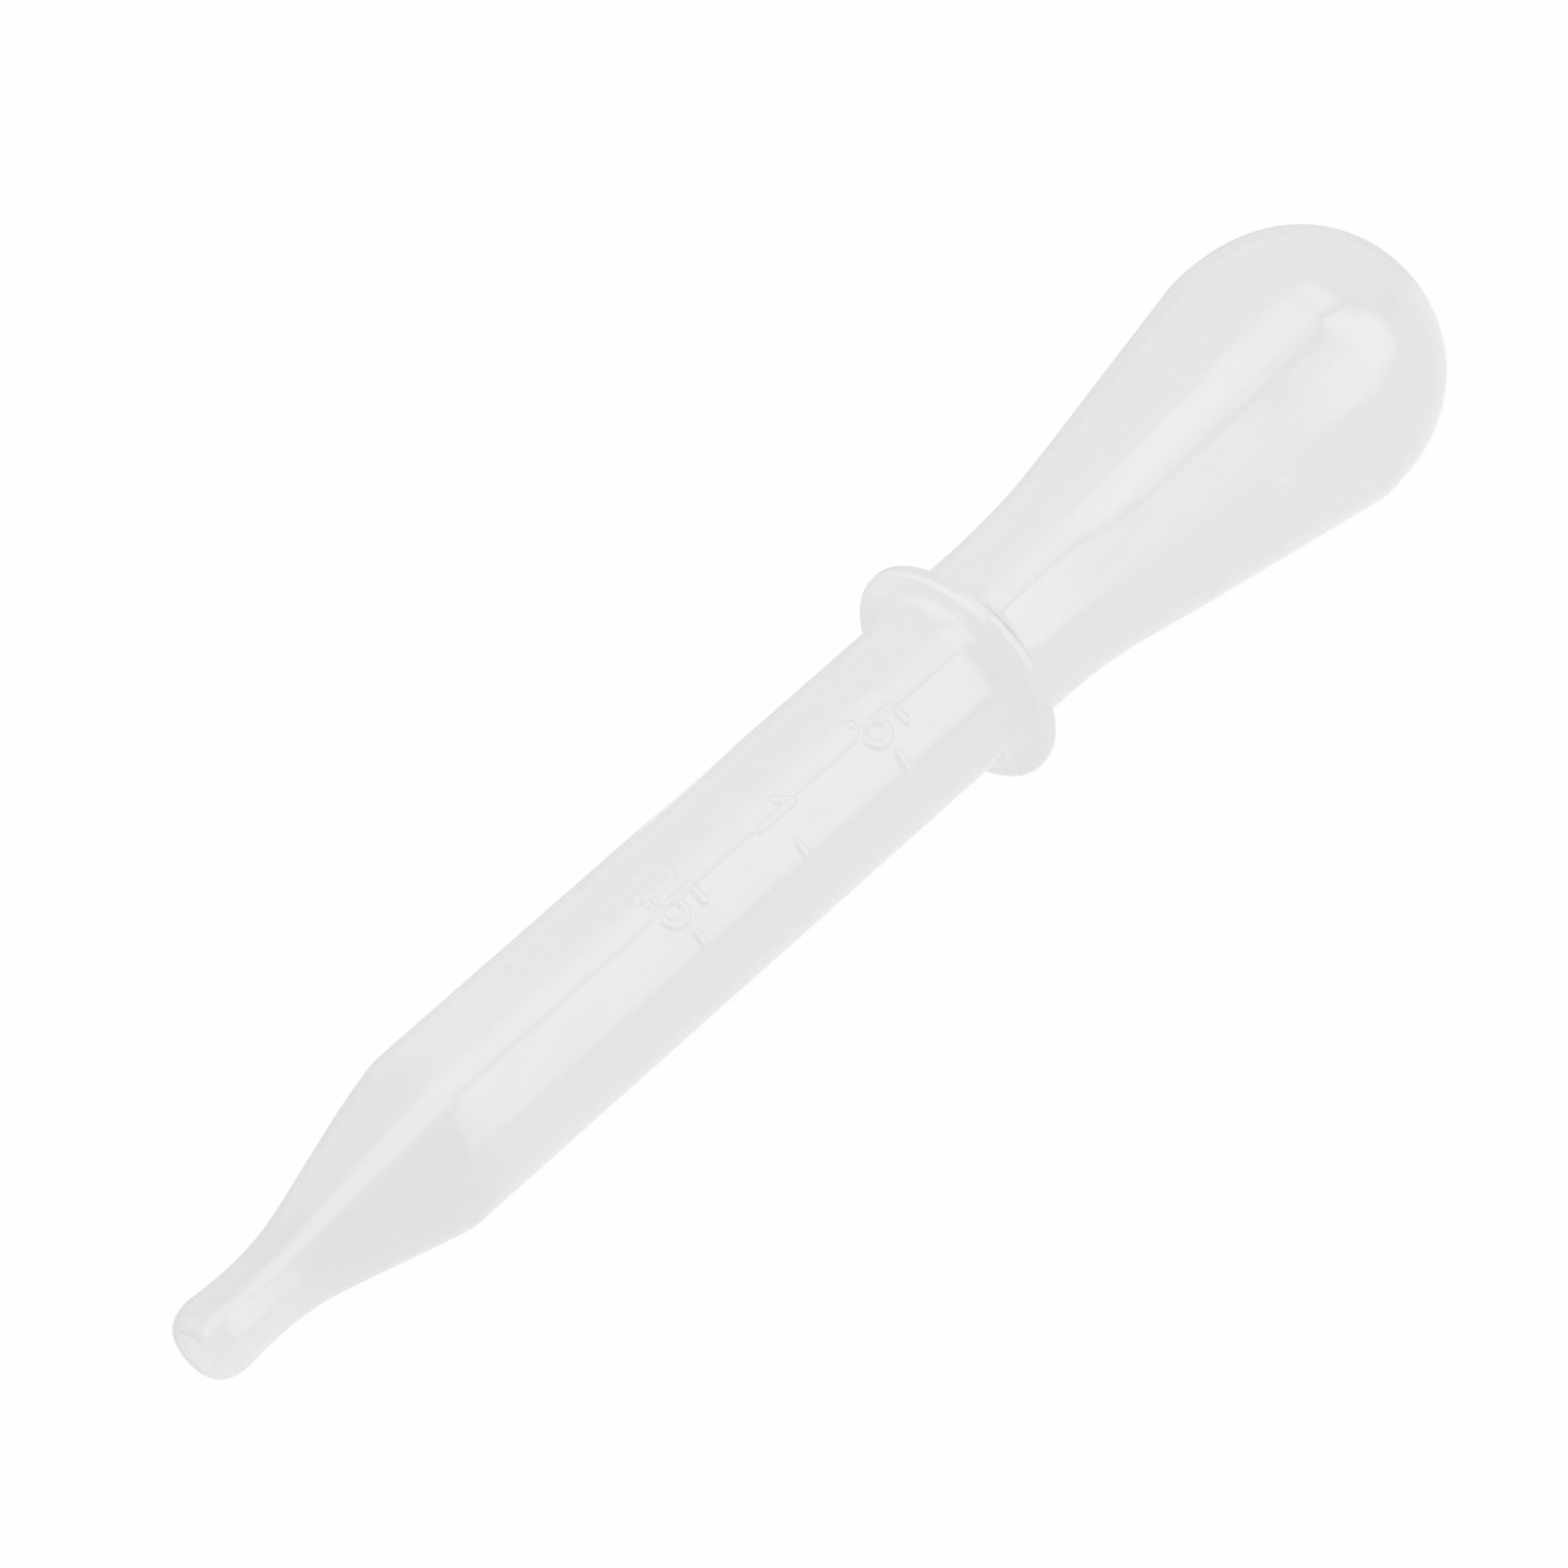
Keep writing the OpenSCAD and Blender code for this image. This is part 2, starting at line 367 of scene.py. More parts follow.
@dataclass
class BlownBody:
    """The dropper itself, one blown wall: bulb, neck, flange, stem, taper and nozzle.

    Two soft ridges show where the bulb's round end and the taper begin. As on a real blown piece,
    each part sits a little off the straight axis, so the ridges run slightly askew. A pair of
    spans is for the outer and the inner skin, or for two neighbouring arcs or stretches.
    """

    stem_radius: float = 5.0 * MM
    stem_wall: float = 0.55 * MM
    corner_x: float = -41.06 * MM
    corner_angle: float = 11.03
    belly_radius: float = 45.1 * MM
    taper_angle: float = 15.05
    sweep_radius: float = 18.36 * MM
    corner_ridge: float = 0.104 * MM
    corner_reach: float = 1.7 * MM
    nozzle_radius: float = 2.2 * MM
    nozzle_bore: float = 1.1 * MM
    tip_x: float = CAD_BOX[0][0]
    tip_radius: float = 2.32 * MM
    tip_round_length: float = 1.6 * MM
    tip_round_depth: float = 0.9 * MM
    mouth_round: float = 0.15 * MM
    seat_x: float = 0.8 * MM
    seat_fillet: float = 1.4 * MM
    neck_fillet: float = 1.41 * MM
    flange_radius: float = 6.82 * MM
    flange_thickness: float = 0.95 * MM
    rim_round: float = 0.29 * MM
    edge_round: float = 0.4 * MM
    neck_radius: float = 5.03 * MM
    flare_x: float = 5.4 * MM
    flare_radius: float = 42.9 * MM
    bulb_angle: float = 9.69
    bulb_wall: float = 0.55 * MM
    cap_x: float = 28.6 * MM
    cap_length: float = 9.4 * MM
    cap_radius: float = 8.34 * MM
    cap_power: float = 2.24
    cap_slope: float = 0.033
    cap_ridge: float = 0.06 * MM
    cap_reach: float = 1.6 * MM
    lean_turn: float = 117.0
    stem_lean: float = 3.5e-3
    taper_lean: Point = (0.045 * MM, 0.081 * MM)
    taper_settle: float = 16.0 * MM
    neck_lean: Point = (-0.12 * MM, 0.06 * MM)
    neck_settle: float = 2.2 * MM
    cone_start: float = 6.0 * MM
    cone_settle: float = 10.0 * MM
    cap_lean: float = 0.13 * MM
    cap_spans: Tuple[int, int] = (40, 28)
    neck_spans: int = 20
    fillet_spans: int = 14
    rim_spans: Tuple[int, int] = (8, 10)
    stem_spans: Tuple[int, int] = (4, 8)
    taper_spans: Tuple[int, int] = (34, 18)
    nozzle_spans: int = 8
    lip_start: float = 100.0
    lip_spans: Tuple[int, int] = (16, 5)
    bore_spans: int = 12
    turn_steps: int = 92
    mark_steps: int = 108
    mark_row: float = 0.075 * MM
    least_step: float = 1e-7
    weld: float = 2e-7
    marks: VolumeMarks = field(default_factory=VolumeMarks)

    def flange_back_x(self) -> float:
        """Place of the flange's face on the bulb's side."""
        return self.seat_x + self.flange_thickness

    def taper_marks(self) -> Tuple[Point, Point, Point]:
        """Where the taper's belly, its straight part and its sweep end.

        Returns:
            For each of the three how far past the corner it ends, and the radius there.
        """
        start, end = math.radians(self.corner_angle), math.radians(self.taper_angle)
        belly = self.belly_radius * (math.sin(end) - math.sin(start))
        belly_r = self.stem_radius - self.belly_radius * (math.cos(start) - math.cos(end))
        sweep_r = self.nozzle_radius + self.sweep_radius * (1.0 - math.cos(end))
        straight = belly + (belly_r - sweep_r) / math.tan(end)
        waist = straight + self.sweep_radius * math.sin(end)
        return (belly, belly_r), (straight, sweep_r), (waist, self.nozzle_radius)

    def waist_x(self) -> float:
        """Place where the taper has become the nozzle."""
        return self.corner_x - self.taper_marks()[2][0]

    def taper_radius(self, x: float) -> float:
        """Radius of the taper's own surface, which runs on past the stem before the corner.

        Args:
            x: Place along the axis.

        Returns:
            The radius there.
        """
        past = self.corner_x - x
        start, end = math.radians(self.corner_angle), math.radians(self.taper_angle)
        belly, straight, waist = self.taper_marks()
        if past <= 0.0:
            return self.stem_radius - past * math.tan(start)
        if past <= belly[0]:
            middle = self.belly_radius * math.sin(start) + past
            height = math.sqrt(self.belly_radius ** 2 - middle ** 2)
            return self.stem_radius - (self.belly_radius * math.cos(start) - height)
        if past <= straight[0]:
            return belly[1] - (past - belly[0]) * math.tan(end)
        left = max(waist[0] - past, 0.0)
        height = math.sqrt(self.sweep_radius ** 2 - left ** 2)
        return self.nozzle_radius + self.sweep_radius - height

    def cone_radius(self, x: float, inset: float = 0.0) -> float:
        """Radius of the neck and of the cone that it flares into.

        Args:
            x: Place along the axis.
            inset: Distance inside the outer skin.

        Returns:
            The radius there.
        """
        slope = math.radians(self.bulb_angle)
        bend = self.flare_radius + inset
        along = min(max(x - self.flare_x, 0.0), bend * math.sin(slope))
        rise = bend - math.sqrt(bend ** 2 - along ** 2)
        past = max(x - self.flare_x - bend * math.sin(slope), 0.0)
        return self.neck_radius - inset + rise + past * math.tan(slope)

    def dome_radius(self, x: float, inset: float = 0.0) -> float:
        """Radius of the bulb's round end, which runs on as a slight cone before it.

        Args:
            x: Place along the axis.
            inset: Distance inside the outer skin.

        Returns:
            The radius there.
        """
        if x <= self.cap_x:
            return self.cap_radius - inset - (self.cap_x - x) * self.cap_slope
        share = min((x - self.cap_x) / (self.cap_length - inset), 1.0)
        return (self.cap_radius - inset) * (1.0 - share ** self.cap_power) ** (1.0 / self.cap_power)

    def lean(self, x: float) -> Point:
        """How far the two surfaces that meet near a place sit off the axis.

        Args:
            x: Place along the axis.

        Returns:
            The shift of the stem or the cone, and the shift of the taper or the round end.
        """
        if x < 0.0:
            share = smooth_step((self.corner_x - x) / self.taper_settle)
            start, end = self.taper_lean
            return self.stem_lean * x, start + share * (end - start)
        share = smooth_step((x - self.cone_start) / self.cone_settle)
        neck = self.neck_lean[0] * smooth_step(x / self.neck_settle)
        return neck + share * (self.neck_lean[1] - neck), self.cap_lean

    def skin(self, x: float, shift: Point = (0.0, 0.0), inset: float = 0.0) -> Point:
        """Radius of the wall at a place.

        Args:
            x: Place along the axis.
            shift: How far each of the two surfaces is moved outwards there.
            inset: Distance inside the outer skin.

        Returns:
            The radius, and the share that the stem or the cone has in it.
        """
        if x < 0.0:
            stem, taper = self.stem_radius + shift[0], self.taper_radius(x) + shift[1]
            return soft_least(stem, taper, self.corner_ridge)
        cone, dome = self.cone_radius(x, inset), self.dome_radius(x, inset)
        return soft_least(cone + shift[0], dome + shift[1], self.cap_ridge)

    def bulb_profile(self, inset: float, spans: int) -> List[Point]:
        """Half outline of the bulb, from its pole to the neck.

        Args:
            inset: Distance that the outline lies inside the outer skin.
            spans: Number of spans over the round end.

        Returns:
            The outline's points, along the axis and out from it.
        """
        power = 2.0 / self.cap_power
        length, half = self.cap_length - inset, spans // 2
        start, top = self.cap_x + self.cap_reach, 0.5 * math.pi
        turn = math.asin((self.cap_reach / length) ** (1.0 / power))
        angles = [top + (turn - top) * step / spans for step in range(1, spans + 1)]
        places = [self.cap_x + length * math.sin(angle) ** power for angle in angles]
        ridge = [start - 2.0 * self.cap_reach * step / half for step in range(1, half + 1)]
        flare = [
            self.flare_x + (ridge[-1] - self.flare_x) * (1.0 - step / self.neck_spans)
            for step in range(1, self.neck_spans + 1)
        ]
        pole = [(self.cap_x + length, 0.0)]
        return pole + [(x, self.skin(x, inset=inset)[0]) for x in places + ridge + flare]

    def flange_profile(self) -> List[Point]:
        """Outline of the flange with its fillets, from the bulb's side to the stem.

        Returns:
            The outline's points.
        """
        back, seat = self.flange_back_x(), self.seat_x
        neck = (back + self.neck_fillet, self.neck_radius + self.neck_fillet)
        back_edge = (back - self.rim_round, self.flange_radius - self.rim_round)
        seat_edge = (seat + self.edge_round, self.flange_radius - self.edge_round)
        stem = (seat - self.seat_fillet, self.stem_radius + self.seat_fillet)
        outline = arc_points(neck, (self.neck_fillet,) * 2, 270, 180, self.fillet_spans)
        outline += arc_points(back_edge, (self.rim_round,) * 2, 0, 90, self.rim_spans[0])
        outline += arc_points(seat_edge, (self.edge_round,) * 2, 90, 180, self.rim_spans[1])
        outline += arc_points(stem, (self.seat_fillet,) * 2, 360, 270, self.fillet_spans)
        return outline

    def stem_rows(self) -> List[Point]:
        """Rows along the straight stem, close together where the marks stand.

        Returns:
            A point for each row.
        """
        rows: List[Point] = []
        radius, place = self.stem_radius, self.seat_x - self.seat_fillet
        for index in range(len(self.marks.labels)):
            bottom, top = self.marks.span(index)
            rows += line_points((place, radius), (top, radius), self.stem_spans[0])
            count = math.ceil((top - bottom) / self.mark_row)
            rows += [(top + (bottom - top) * row / count, radius) for row in range(count + 1)]
            place = bottom
        end = self.corner_x + self.corner_reach
        return rows + line_points((place, radius), (end, radius), self.stem_spans[1])

    def taper_profile(self, spans: int) -> List[Point]:
        """Outline of the ridge at the stem's end, the taper and the sweep into the nozzle.

        Args:
            spans: Number of spans over the ridge and over the taper.

        Returns:
            The outline's points from the stem to the nozzle's waist.
        """
        start, end = self.corner_x + self.corner_reach, self.corner_x - self.corner_reach
        places = [start + (end - start) * step / spans for step in range(spans)]
        places += [end + (self.waist_x() - end) * step / spans for step in range(spans + 1)]
        return [(x, self.skin(x)[0]) for x in places]

    def tip_profile(self) -> List[Point]:
        """Outline of the nozzle's slight flare, its rounded lip and the mouth of its bore.

        Returns:
            The outline's points.
        """
        waist = self.waist_x()
        flare_end = self.tip_x + self.tip_round_length
        widening = self.tip_radius - self.nozzle_radius
        shares = [step / self.nozzle_spans for step in range(1, self.nozzle_spans + 1)]
        flare = [
            (waist + (flare_end - waist) * share, self.nozzle_radius + widening * share ** 2)
            for share in shares
        ]
        lip = arc_points(
            (flare_end, self.tip_radius - self.tip_round_depth),
            (self.tip_round_length, self.tip_round_depth), self.lip_start, 180, self.lip_spans[0],
        )
        mouth = arc_points(
            (self.tip_x + self.mouth_round, self.nozzle_bore + self.mouth_round),
            (self.mouth_round, self.mouth_round), 180, 270, self.lip_spans[1],
        )
        return flare + lip + mouth

    def bore_radius(self, radius: float) -> float:
        """Radius of the bore in the taper, whose wall thickens towards the nozzle.

        Args:
            radius: Outer radius at the same place.

        Returns:
            The bore's radius.
        """
        bore = self.stem_radius - self.stem_wall
        share = (radius - self.nozzle_radius) / (self.stem_radius - self.nozzle_radius)
        return self.nozzle_bore + share * (bore - self.nozzle_bore)

    def bore_profile(self) -> List[Point]:
        """Outline of the hollow, from the nozzle's waist back to the bulb's pole.

        Returns:
            The outline's points.
        """
        outside = self.taper_profile(self.taper_spans[1])
        taper = [(x, self.bore_radius(radius)) for x, radius in outside]
        stem = self.stem_radius - self.stem_wall
        neck = self.neck_radius - self.bulb_wall
        inner = self.bulb_profile(self.bulb_wall, self.cap_spans[1])
        step = [(self.seat_x, stem), (self.flange_back_x(), neck)]
        rows = line_points(taper[0], step[0], self.bore_spans)
        return list(reversed(taper)) + rows + step + list(reversed(inner))

    def profile(self) -> List[Point]:
        """The whole half section of the wall, from the bulb's outer pole to its inner pole.

        Returns:
            The section's points, each apart from the one before.
        """
        outline = self.bulb_profile(0.0, self.cap_spans[0]) + self.flange_profile()
        outline += self.stem_rows() + self.taper_profile(self.taper_spans[0])
        outline += self.tip_profile() + self.bore_profile()
        clean = [outline[0]]
        for point in outline[1:]:
            if math.dist(point, clean[-1]) > self.least_step:
                clean.append(point)
        return clean

    def settle(self, mesh: bmesh.types.BMesh) -> None:
        """Moves each part a little off the straight axis, which sets the ridges slightly askew.

        Args:
            mesh: The body's mesh.
        """
        turn = math.radians(self.lean_turn)
        side = Vector((0.0, -math.sin(turn), math.cos(turn)))
        for vert in mesh.verts:
            x, y, z = vert.co
            radius = math.hypot(y, z)
            facing = math.cos(math.atan2(-y, z) - turn) if radius > NEAR else 0.0
            lean = self.lean(x)
            level, share = self.skin(x)
            shift = share * lean[0] + (1.0 - share) * lean[1]
            moved = self.skin(x, (lean[0] * facing, lean[1] * facing))[0]
            spread = moved - level - shift * facing
            scale = 1.0 + spread / radius if radius > NEAR else 1.0
            vert.co = Vector((x, y * scale, z * scale)) + side * shift

    def turned(self, points: Sequence[Point]) -> bmesh.types.BMesh:
        """Turns a half section about the X axis, with narrow steps where the marks stand.

        Args:
            points: The half section, along the axis and out from it.

        Returns:
            A closed mesh.
        """
        mesh = bmesh.new()
        low, high = self.marks.reach()
        start = math.radians(self.marks.turn) + low / self.stem_radius
        sector = (high - low) / self.stem_radius
        aside, up = -math.sin(start), math.cos(start)
        verts = [mesh.verts.new((x, radius * aside, radius * up)) for x, radius in points]
        edges = [mesh.edges.new(pair) for pair in zip(verts, verts[1:])]
        spins = ((sector, self.mark_steps), (2 * math.pi - sector, self.turn_steps))
        geometry = verts + edges
        for angle, steps in spins:
            result = bmesh.ops.spin(
                mesh, geom=geometry, cent=(0, 0, 0), axis=(1, 0, 0), angle=angle, steps=steps,
                use_merge=False, use_normal_flip=False, use_duplicate=False,
            )
            geometry = result["geom_last"]
        bmesh.ops.remove_doubles(mesh, verts=mesh.verts[:], dist=self.weld)
        bmesh.ops.recalc_face_normals(mesh, faces=mesh.faces[:])
        return mesh

    def build(self, finish: "MilkyPlastic", inner: "MilkyPlastic", maps: "SharedMaps") -> None:
        """Makes the body, raises its marks and dresses it.

        Args:
            finish: The plastic's finish outside.
            inner: The plastic's finish in the hollow.
            maps: The node groups that both finishes share.
        """
        mesh = self.turned(self.profile())
        lifted = self.marks.raise_strokes(mesh)
        self.settle(mesh)
        for face in mesh.faces:
            face.smooth = True
            centre = face.calc_center_median()
            if face.normal.dot(Vector((0.0, centre.y, centre.z))) < 0.0:
                face.material_index = 1
        piece = place_mesh("dropper_body", mesh)
        for skin in (finish, inner):
            piece.data.materials.append(skin.material(maps))
        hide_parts("dropper")
        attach(piece, "root")
        triangles = sum(len(polygon.vertices) - 2 for polygon in piece.data.polygons)
        LOG.info("dropper_body: %d triangles, %d vertices lifted into marks", triangles, lifted)


@dataclass(frozen=True)
class WallAndShadeChanges:
    """Places of wall changes and of painted light and shade: each pair is where one starts and
    ends.

    They lie along X, and the side, height and half pairs across it. The shares say how far the
    painted shade goes in the taper, on the nozzle's far side and on the rim.
    """

    nozzle: Point = (-43.0 * MM, -57.5 * MM)
    # Painted shade on the taper, on the nozzle's far side and on the rim's far side: where each
    # lies.
    taper_start: Point = (-38.5 * MM, -42.5 * MM)
    taper_end: Point = (-55.0 * MM, -50.0 * MM)
    taper_share: float = 0.4
    tip_start: Point = (-44.0 * MM, -53.0 * MM)
    tip_side: Point = (-0.65 * MM, 0.0)
    tip_share: float = 0.8
    rim_front: Point = (1.05 * MM, 1.25 * MM)
    rim_back: Point = (1.8 * MM, 1.6 * MM)
    rim_side: Point = (0.5 * MM, 3.0 * MM)
    rim_share: float = 0.5
    # Painted shade in the crease where the flange meets the neck: its place along X, and the
    # height, leaning towards -Y, above which it lies.
    root_front: Point = (1.9 * MM, 2.3 * MM)
    root_back: Point = (2.75 * MM, 2.5 * MM)
    root_height: Point = (4.6 * MM, 6.1 * MM)
    root_tilt: float = 0.6
    seat: Point = (0.1 * MM, 0.6 * MM)
    # Painted light on the flange face's far half and painted shade on its near half: where each
    # ends towards the bulb, and where the halves meet.
    lit_half_back: Point = (1.2 * MM, 1.0 * MM)
    shaded_half_back: Point = (1.4 * MM, 1.1 * MM)
    flange_half: Point = (-2.2 * MM, -0.6 * MM)


class SharedMaps:
    """Node groups that both of the plastic's skins use, each built once.

    Scales are features in a metre, and a drawn scale stretches a pattern along the axis.
    """

    cloud_drawn: Triple = (0.35, 1.0, 1.0)
    cloud_scales: Point = (150.0, 900.0)
    cloud_shares: Point = (0.65, 0.35)
    cloud_range: Point = (0.33, 0.67)
    speck_scale: float = 2600.0
    speck_range: Point = (0.66, 0.74)
    skin_drawn: Triple = (0.3, 1.0, 1.0)
    ripple_scale: float = 260.0
    peel_scale: float = 2400.0

    def __init__(self) -> None:
        """Builds the groups."""
        self.cloud = self.cloud_group()
        self.depth = self.wall_and_shade_group(WallAndShadeChanges())
        self.skin = self.skin_group()

    @staticmethod
    def start(name: str, sockets: Sequence[Tuple[str, str, str, float]]) -> Tree:
        """Starts a node group with its sockets.

        Args:
            name: Name of the group.
            sockets: For each socket its name, its side, its kind and its plain value.

        Returns:
            The group, with its input and output nodes in place.
        """
        tree = bpy.data.node_groups.new(name, "ShaderNodeTree")
        for label, side, kind, value in sockets:
            socket = tree.interface.new_socket(name=label, in_out=side, socket_type=kind)
            if kind == "NodeSocketFloat":
                socket.default_value = value
        tree.nodes.new("NodeGroupInput").name = "in"
        tree.nodes.new("NodeGroupOutput").name = "out"
        return tree

    @staticmethod
    def noise(tree: Tree, place: Socket, scale: float, detail: float) -> Socket:
        """Adds a noise texture.

        Args:
            tree: The tree to add it to.
            place: Socket with the place on the piece.
            scale: How many features a metre holds.
            detail: How many finer layers it has.

        Returns:
            The texture's value.
        """
        noise = tree.nodes.new("ShaderNodeTexNoise")
        noise.inputs["Scale"].default_value = scale
        noise.inputs["Detail"].default_value = detail
        tree.links.new(place, noise.inputs["Vector"])
        return noise.outputs["Fac"]

    @staticmethod
    def sums(tree: Tree, operation: str, first: Socket, *others: Union[float, Socket]) -> Socket:
        """Joins values with Math nodes, one after another.

        Args:
            tree: The tree to add them to.
            operation: What the nodes do.
            first: First value.
            others: The other values, each a socket or a number.

        Returns:
            The result's socket.
        """
        result = first
        for other in others:
            node = tree.nodes.new("ShaderNodeMath")
            node.operation = operation
            tree.links.new(result, node.inputs[0])
            if isinstance(other, (int, float)):
                node.inputs[1].default_value = other
            else:
                tree.links.new(other, node.inputs[1])
            result = node.outputs[0]
        return result

    @staticmethod
    def ease(tree: Tree, value: Socket, source: Point, target: Point = (0.0, 1.0)) -> Socket:
        """Maps a range to another with soft ends.

        Args:
            tree: The tree to add it to.
            value: The value to map.
            source: Where the range starts and ends.
            target: What it becomes there.

        Returns:
            The mapped value's socket.
        """
        node = tree.nodes.new("ShaderNodeMapRange")
        node.interpolation_type = "SMOOTHSTEP"
        tree.links.new(value, node.inputs["Value"])
        for name, number in zip(("From Min", "From Max", "To Min", "To Max"), (*source, *target)):
            node.inputs[name].default_value = number
        return node.outputs["Result"]

    @staticmethod
    def drawn(tree: Tree, place: Socket, scale: Triple) -> Socket:
        """Stretches a pattern along the axis.

        Args:
            tree: The tree to add the stretch to.
            place: Socket with the place on the piece.
            scale: Scale of the pattern along X, Y and Z.

        Returns:
            The stretched place.
        """
        node = tree.nodes.new("ShaderNodeMapping")
        node.inputs["Scale"].default_value = scale
        tree.links.new(place, node.inputs["Vector"])
        return node.outputs[0]

    def cloud_group(self) -> Tree:
        """Milky clouds that are drawn out along the axis, as blown plastic has them.

        Returns:
            A group that gives the clouds and the fine specks between them.
        """
        tree = self.start("milk_cloud", (
            ("Place", "INPUT", "NodeSocketVector", 0.0),
            ("Cloud", "OUTPUT", "NodeSocketFloat", 0.0),
            ("Specks", "OUTPUT", "NodeSocketFloat", 0.0),
        ))
        place, outlet = tree.nodes["in"].outputs["Place"], tree.nodes["out"].inputs
        drawn = self.drawn(tree, place, self.cloud_drawn)
        broad = self.noise(tree, drawn, self.cloud_scales[0], 2.0)
        fine = self.noise(tree, drawn, self.cloud_scales[1], 3.0)
        cloud = self.sums(
            tree, "ADD",
            self.sums(tree, "MULTIPLY", broad, self.cloud_shares[0]),
            self.sums(tree, "MULTIPLY", fine, self.cloud_shares[1]),
        )
        specks = self.noise(tree, place, self.speck_scale, 1.0)
        tree.links.new(self.ease(tree, cloud, self.cloud_range), outlet["Cloud"])
        tree.links.new(self.ease(tree, specks, self.speck_range), outlet["Specks"])
        return tree

    def mask(self, tree: Tree, *parts: Tuple[Socket, Point, float]) -> Socket:
        """Product of soft ranges: each part has its value, its two ends and its height."""
        ranges = [self.ease(tree, value, ends, (0.0, share)) for value, ends, share in parts]
        return self.sums(tree, "MULTIPLY", *ranges)

    def wall_and_shade_group(self, wall: WallAndShadeChanges) -> Tree:
        """Masks where the wall isn't as on the bulb and the stem, and of painted light and shade.

        Args:
            wall: Where each change lies.

        Returns:
            A group with masks for the nozzle, for painted light on the flange face's far half
            and painted shade on its near half, for painted shade on taper, nozzle and rim, and
            for painted shade in the crease at the flange's root.
        """
        names = ("Nozzle", "PaintedLitHalf", "PaintedShadedHalf", "PaintedShade", "PaintedCreaseShade")
        outputs = tuple((name, "OUTPUT", "NodeSocketFloat", 0.0) for name in names)
        tree = self.start("wall_and_painted_shade", (("Place", "INPUT", "NodeSocketVector", 0.0),) + outputs)
        split = tree.nodes.new("ShaderNodeSeparateXYZ")
        tree.links.new(tree.nodes["in"].outputs["Place"], split.inputs[0])
        x, y, z = split.outputs
        upper = self.sums(tree, "SUBTRACT", z, self.sums(tree, "MULTIPLY", y, wall.root_tilt))
        # Painted shade on the taper, on the nozzle's far side and on the rim's far side.
        taper = self.mask(tree, (x, wall.taper_start, wall.taper_share), (x, wall.taper_end, 1.0))
        tip = self.mask(tree, (y, wall.tip_side, wall.tip_share), (x, wall.tip_start, 1.0))
        rim = (
            (x, wall.rim_front, 1.0), (x, wall.rim_back, 1.0), (y, wall.rim_side, wall.rim_share),
        )
        seat, near = (x, wall.seat, 1.0), wall.flange_half[::-1]
        masks = (
            self.mask(tree, (x, wall.nozzle, 1.0)),
            # Painted light on the flange face's far half, and painted shade on its near half.
            self.mask(tree, seat, (x, wall.lit_half_back, 1.0), (y, wall.flange_half, 1.0)),
            self.mask(tree, seat, (x, wall.shaded_half_back, 1.0), (y, near, 1.0)),
            self.sums(tree, "MAXIMUM", taper, tip, self.mask(tree, *rim)),
            # Painted shade in the crease where the flange meets the neck.
            self.mask(
                tree, (x, wall.root_front, 1.0), (x, wall.root_back, 1.0),
                (upper, wall.root_height, 1.0),
            ),
        )
        for name, mask in zip(names, masks):
            tree.links.new(mask, tree.nodes["out"].inputs[name])
        return tree

    def skin_group(self) -> Tree:
        """Height of the blown skin: long soft ripples and a fine orange peel.

        Returns:
            A group that gives the height in metres.
        """
        tree = self.start("blown_skin", (
            ("Place", "INPUT", "NodeSocketVector", 0.0),
            ("Ripple", "INPUT", "NodeSocketFloat", 0.02 * MM),
            ("Peel", "INPUT", "NodeSocketFloat", 0.001 * MM),
            ("Height", "OUTPUT", "NodeSocketFloat", 0.0),
        ))
        inlet = tree.nodes["in"].outputs
        drawn = self.drawn(tree, inlet["Place"], self.skin_drawn)
        ripple = self.noise(tree, drawn, self.ripple_scale, 1.0)
        peel = self.noise(tree, inlet["Place"], self.peel_scale, 1.0)
        height = self.sums(
            tree, "ADD",
            self.sums(tree, "MULTIPLY", ripple, inlet["Ripple"]),
            self.sums(tree, "MULTIPLY", peel, inlet["Peel"]),
        )
        tree.links.new(height, tree.nodes["out"].inputs["Height"])
        return tree


